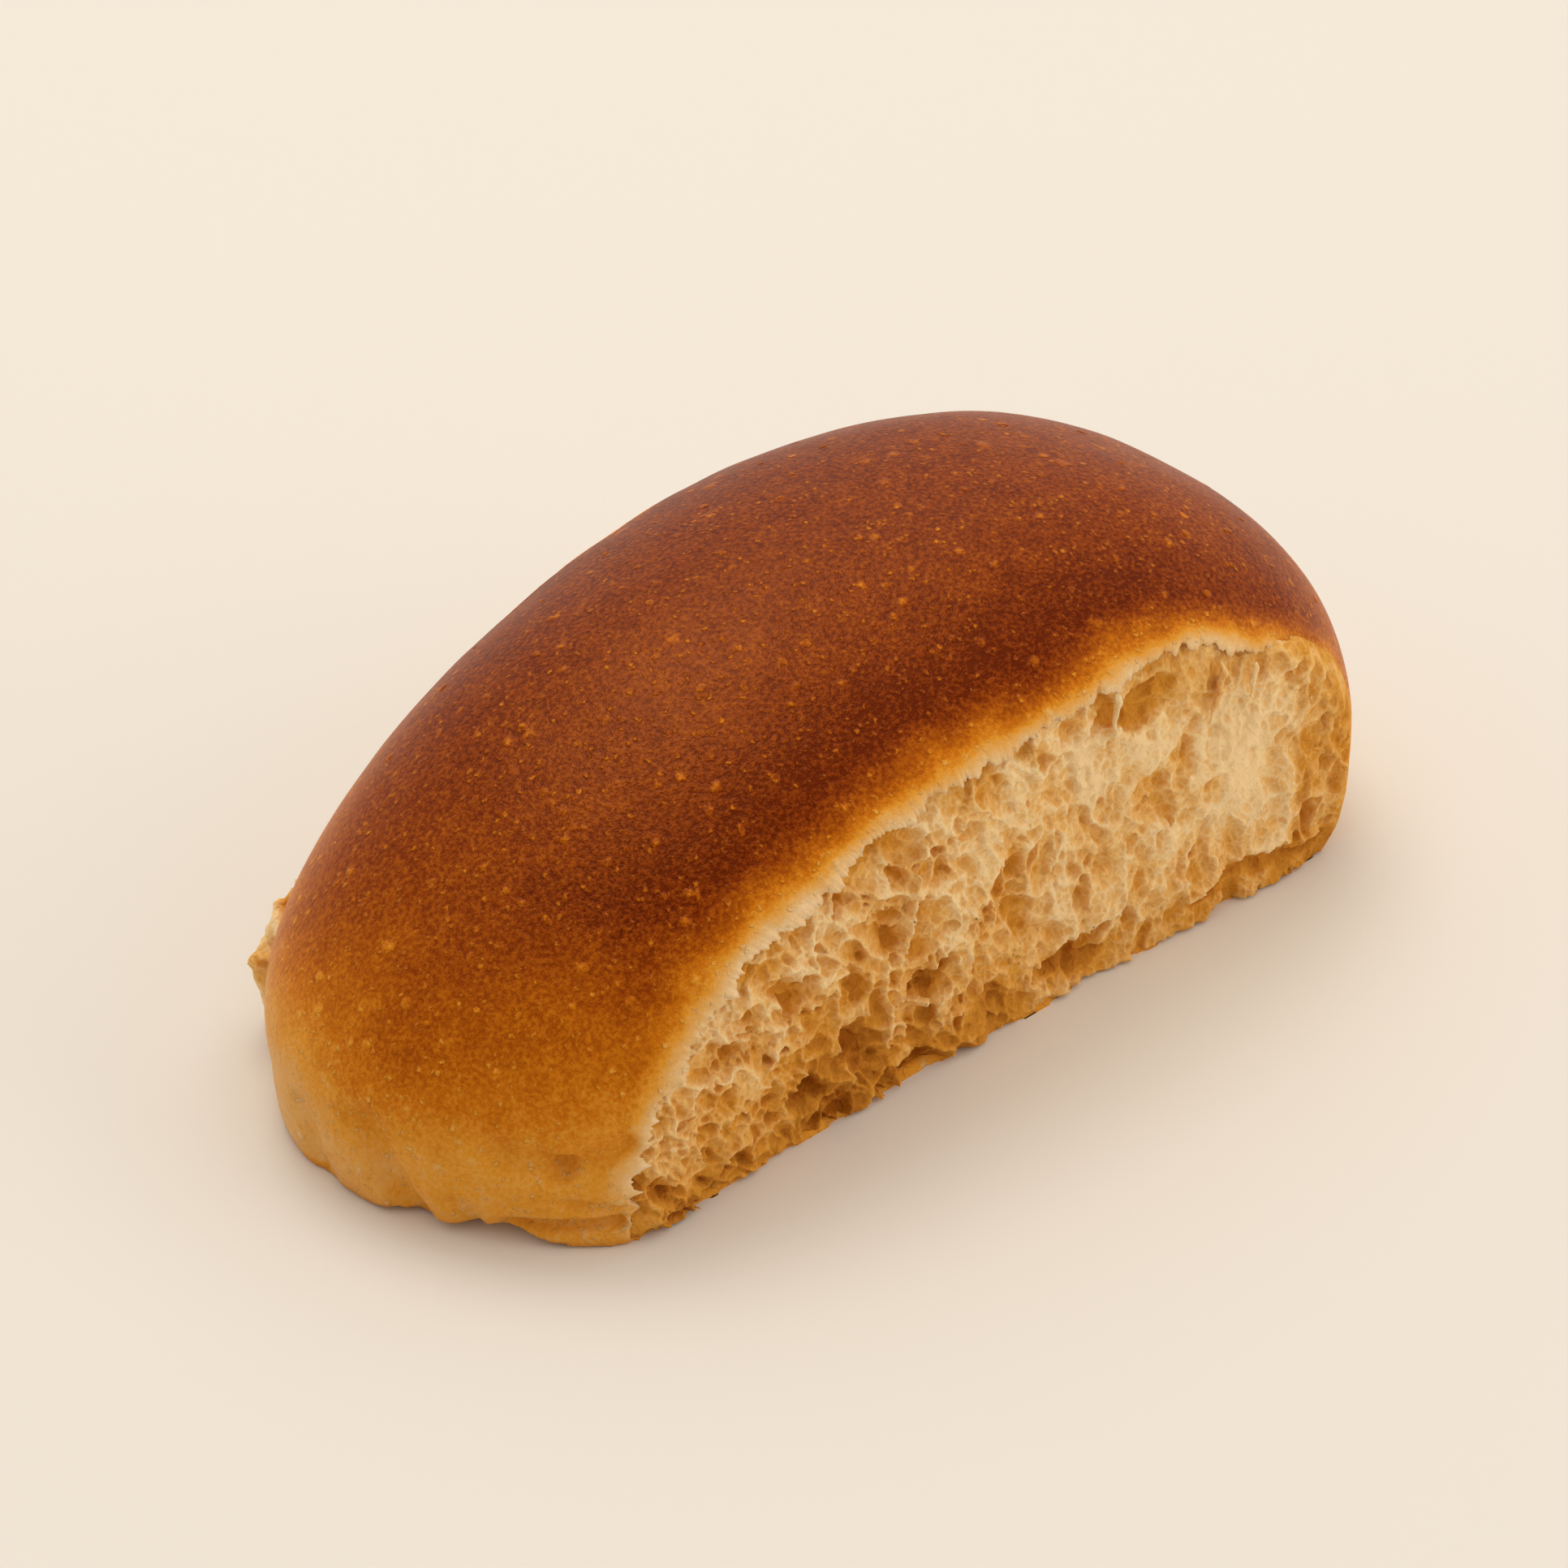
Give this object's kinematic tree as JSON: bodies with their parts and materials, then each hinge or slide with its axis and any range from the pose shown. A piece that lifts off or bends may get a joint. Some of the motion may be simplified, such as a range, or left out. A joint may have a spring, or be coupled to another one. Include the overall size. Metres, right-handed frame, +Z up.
{
  "type": "sweet bread roll",
  "caption": "Unfilled oval sweet roll with a domed, browned crust and a torn face of open pale crumb along each long side.",
  "frame": {"origin": "on the table, under the middle of the roll's outline", "axes": "+Z up, X along the roll with the folded near end at -X, front tear facing -Y"},
  "size_m": [0.115, 0.0502, 0.0427],
  "materials": {
    "crust": "browned, egg-washed, soft sheen",
    "crumb": "matte open crumb"
  },
  "bodies": {
    "root": {"bun": "crust"}
  },
  "joints": []
}
